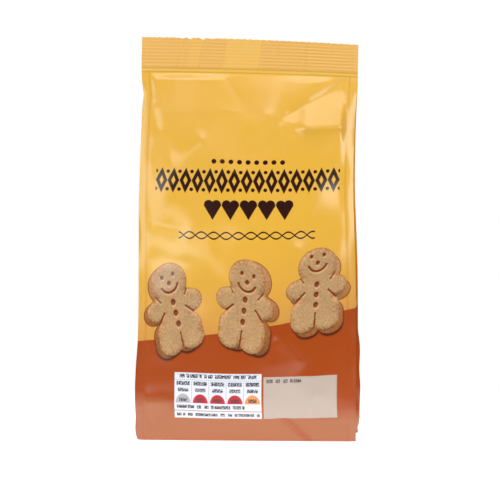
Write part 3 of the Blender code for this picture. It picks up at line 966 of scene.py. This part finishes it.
def paint_table(graph, u, v, colour, inks):
    """The pale table: five cells with a half disc each, dotted rules, and rows of word-long dashes."""
    panel = either(box(u, v, *TABLE), box(u, v, *STRIP))
    colour = graph.mix(panel.inside(), colour, inks.paper)
    across, cell = u - TABLE[0], (u - TABLE[0]).wrap(CELL / 2)
    within = abs(across) - TABLE[2]
    foot, half, height = DISC
    arch = length(cell * (height / half), v - foot) - height
    ink = graph.mix(across.above(1.5 * CELL), inks.disc_red, inks.disc_amber)
    ink = graph.mix((TABLE[0] - u).above(1.5 * CELL), ink, inks.disc_grey)
    colour = graph.mix(both(arch, foot - v, within).inside(), colour, ink)

    strokes = graph.strokes(u, v)
    rows = either(*(box(u, v, *row) for row in TABLE_ROWS)).inside()
    words = graph.words(u, graph.math("SNAP", v, ROW_PITCH) * 1.7)
    marks = rows * words * (strokes * 0.65 + 0.4)
    for level, half_width, half_height, least in CELL_ROWS:
        row = both(abs(cell) - half_width, abs(v - level) - half_height, within).inside()
        marks = graph.math("MAXIMUM", marks, row * (strokes * 0.7 + least))
    rule = both(abs(v - RULE) - 0.16, within).inside(0.15) * u.wrap(0.5).above(0.0)
    posts = both(CELL / 2 - 0.16 - abs(cell), abs(v - POSTS[0]) - POSTS[1], abs(across) - 2 * CELL)
    posts = posts.inside(0.15) * v.wrap(0.5).above(0.0)
    marks = graph.math("MAXIMUM", marks, graph.math("MAXIMUM", rule, posts) * 0.75)
    return graph.mix(marks, colour, inks.grey_ink)


def paint_date(graph, u, v, colour, inks):
    """The pale date panel with one short dash at its top left."""
    colour = graph.mix(box(u, v, *DATE).inside(), colour, inks.date_panel)
    dash = box(u, v, *DATE_ROW).inside() * graph.words(u, 4.2)
    return graph.mix(dash * (graph.strokes(u, v) * 0.6 + 0.3), colour, inks.grey_ink)


def paint_back(graph, u, v, colour, inks):
    """The back panel's print: two columns of dashes and a pale panel."""
    half_pitch = ROW_PITCH / 2
    rows = both(box(abs(u), v, *BACK_COLUMN), abs(v.wrap(half_pitch)) - 0.45).inside() * 0.8
    runs = graph.words(u, graph.math("SNAP", v - half_pitch, ROW_PITCH) * 2.3)
    colour = graph.mix(rows * runs, colour, inks.ink)
    return graph.mix(box(u, v, *BACK_PANEL).inside(), colour, inks.paper)


# Each material's name, what is printed over its fields of colour, and its gloss
FILMS = (
    ("film_front", (paint_ornaments, paint_figures, paint_table, paint_date), 1.0),
    ("film_back", (paint_back,), 1.0),
    ("film_plain", (), 0.2),
)


def new_material(name):
    """A material with nodes, and its graph."""
    material = bpy.data.materials.new(name)
    material.use_nodes = True
    return material, Graph(material.node_tree)


def add_object(data):
    """An object in the scene, with the name of its data."""
    item = bpy.data.objects.new(data.name, data)
    bpy.context.scene.collection.objects.link(item)
    return item


def film_material(name, paints, gloss, inks, fields, surface):
    """Glossy film over a print: a clear coat on a satin base, paler and duller along worn creases, and
    darker with painted shade where a fin leaves its panel."""
    material, graph = new_material(name)
    split = graph.add("ShaderNodeSeparateXYZ", graph.out(0, "ShaderNodeUVMap", uv_map=PLACE_MAP))
    u, v = Wire(graph, split.outputs[0]), Wire(graph, split.outputs[1])
    wear, seal = (graph.out("Fac", "ShaderNodeAttribute", attribute_name=mark) for mark in ("wear", "seal"))
    (colour,) = graph.call(fields, u, v, seal)
    for paint in paints:
        colour = paint(graph, u, v, colour, inks)
    colour = graph.mix((wear * 0.2).held(), colour, WORN_TINT)
    # Painted shade where a fin leaves its panel: where the wear mark is below 0
    colour = graph.mix((wear * -0.2).held(), colour, inks.orange)
    roughness, height = graph.call(surface, wear.held())
    bump = graph.add("ShaderNodeBump")
    graph.feed(bump, {"Strength": 0.35, "Distance": MM, "Height": height})
    settings = {
        "Base Color": colour, "Roughness": roughness, "Normal": Wire(graph, bump.outputs["Normal"]),
        "Coat Weight": gloss, "Coat Roughness": 0.2, "Coat IOR": 1.52, "Specular IOR Level": 0.0,
    }
    graph.feed(material.node_tree.nodes["Principled BSDF"], settings)
    return material


class BuildFilm(bpy.types.Operator):
    """Builds the bag's printed film as one closed surface"""

    bl_idname = "mesh.biscuit_bag_film"
    bl_label = "Printed Film"

    def execute(self, context):
        inks = context.scene.bag_inks
        mesh = build_film(context.scene.bag_form)
        fields, surface = fields_group(inks), surface_group()
        for film in FILMS:
            mesh.materials.append(film_material(*film, inks, fields, surface))
        bag = add_object(mesh)
        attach(bag, "root")
        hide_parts("biscuit_bag")
        return {"FINISHED"}


def add_floor(glow):
    """A pale flat floor, a hair below the base. It fades out evenly all round, with no horizon."""
    x, y = np.meshgrid(np.linspace(-FLOOR_REACH, FLOOR_REACH, 8), np.linspace(-FLOOR_REACH, FLOOR_REACH, 8))
    points = np.stack([x, y, np.full_like(x, FLOOR_LEVEL)], axis=-1)
    ids = np.arange(x.size).reshape(x.shape)
    quads = np.stack([ids[:-1, :-1], ids[:-1, 1:], ids[1:, 1:], ids[1:, :-1]], axis=-1)
    mesh = bpy.data.meshes.new("floor")
    mesh.from_pydata(points.reshape(-1, 3), [], quads.reshape(-1, 4).tolist())
    material, graph = new_material("pale_floor")
    place = graph.out("Object", "ShaderNodeTexCoord")
    reach = graph.out("Value", "ShaderNodeVectorMath", place, operation="LENGTH")
    fade = (reach - (FLOOR_REACH + FLOOR_SOLID) / 2).inside(FLOOR_REACH - FLOOR_SOLID)
    settings = {
        "Base Color": (0.9, 0.9, 0.9, 1), "Roughness": 0.7, "Emission Color": (1, 1, 1, 1),
        "Emission Strength": glow, "Alpha": fade,
    }
    graph.feed(material.node_tree.nodes["Principled BSDF"], settings)
    mesh.materials.append(material)
    floor = add_object(mesh)


def add_softbox(name, azimuth, elevation, width, height, radiance):
    """A softbox that faces the bag's middle. Its azimuth goes to the right of straight ahead of the
    front panel, and its power is pi times its area times its radiance."""
    lamp = bpy.data.lights.new(name, "AREA")
    lamp.shape = "RECTANGLE"
    lamp.size, lamp.size_y = width, height
    lamp.energy = math.pi * width * height * radiance
    across, up = math.radians(azimuth), math.radians(elevation)
    away = Vector((math.sin(across) * math.cos(up), -math.cos(across) * math.cos(up), math.sin(up)))
    light = add_object(lamp)
    light.location = Vector((0, 0, BAG_HEIGHT / 2)) + away * LIGHT_DISTANCE
    light.rotation_euler = (-away).to_track_quat("-Z", "Y").to_euler()


def add_world(scene):
    """White to the camera, and nearly dark to everything else."""
    world = bpy.data.worlds.new("studio")
    world.use_nodes = True
    graph = Graph(world.node_tree)
    seen = graph.out("Is Camera Ray", "ShaderNodeLightPath")
    colour = graph.mix(seen, (0.06, 0.06, 0.06, 1), (1, 1, 1, 1))
    graph.feed(world.node_tree.nodes["Background"], {"Color": colour})
    scene.world = world


def add_camera(scene, stage):
    """A level long lens at the photograph's angle. The bag's axis, at the camera's height, is seen a
    little left of the frame's middle and above it."""
    camera = bpy.data.cameras.new("camera")
    camera.lens = SENSOR_WIDTH / FRAME_WIDTH * stage.distance
    side, ahead = math.sin(stage.turn), math.cos(stage.turn)
    place = Vector((side, -ahead, 0)) * stage.distance + Vector((0, 0, stage.height))
    target = Vector((ahead, side, 0)) * AIM[0] + Vector((0, 0, stage.height + AIM[1]))
    seat = add_object(camera)
    seat.location = place
    seat.rotation_euler = (target - place).to_track_quat("-Z", "Y").to_euler()
    scene.camera = seat


class BuildStage(bpy.types.Operator):
    """Builds the floor, the lights, the surroundings and the camera"""

    bl_idname = "scene.biscuit_bag_stage"
    bl_label = "Stage"

    def execute(self, context):
        stage = context.scene.bag_stage
        add_floor(stage.floor_glow)
        for name, *place in SOFTBOXES:
            add_softbox(name, *place, getattr(stage, name))
        add_world(context.scene)
        add_camera(context.scene, stage)
        context.scene.view_settings.view_transform = "Standard"
        return {"FINISHED"}


class BagPanel(bpy.types.Panel):
    """Lists the bag's settings and its build steps"""

    bl_idname = "VIEW3D_PT_biscuit_bag"
    bl_label = "Biscuit Bag"
    bl_space_type = "VIEW_3D"
    bl_region_type = "UI"
    bl_category = "Biscuit Bag"

    def draw(self, context):
        scene = context.scene
        for settings, operator in (
            (scene.bag_form, BuildFilm),
            (scene.bag_inks, None),
            (scene.bag_stage, BuildStage),
        ):
            column = self.layout.column(align=True)
            for name in settings.__annotations__:
                column.prop(settings, name)
            if operator is not None:
                column.operator(operator.bl_idname)


CLASSES = (BagForm, PrintColours, StageSettings, BuildFilm, BuildStage, BagPanel)


def register():
    for item in CLASSES:
        bpy.utils.register_class(item)
    bpy.types.Scene.bag_form = PointerProperty(type=BagForm)
    bpy.types.Scene.bag_inks = PointerProperty(type=PrintColours)
    bpy.types.Scene.bag_stage = PointerProperty(type=StageSettings)


def unregister():
    del bpy.types.Scene.bag_stage
    del bpy.types.Scene.bag_inks
    del bpy.types.Scene.bag_form
    for item in reversed(CLASSES):
        bpy.utils.unregister_class(item)


def main():
    register()
    bpy.ops.mesh.biscuit_bag_film()
    bpy.ops.scene.biscuit_bag_stage()


if __name__ == "__main__":
    main()
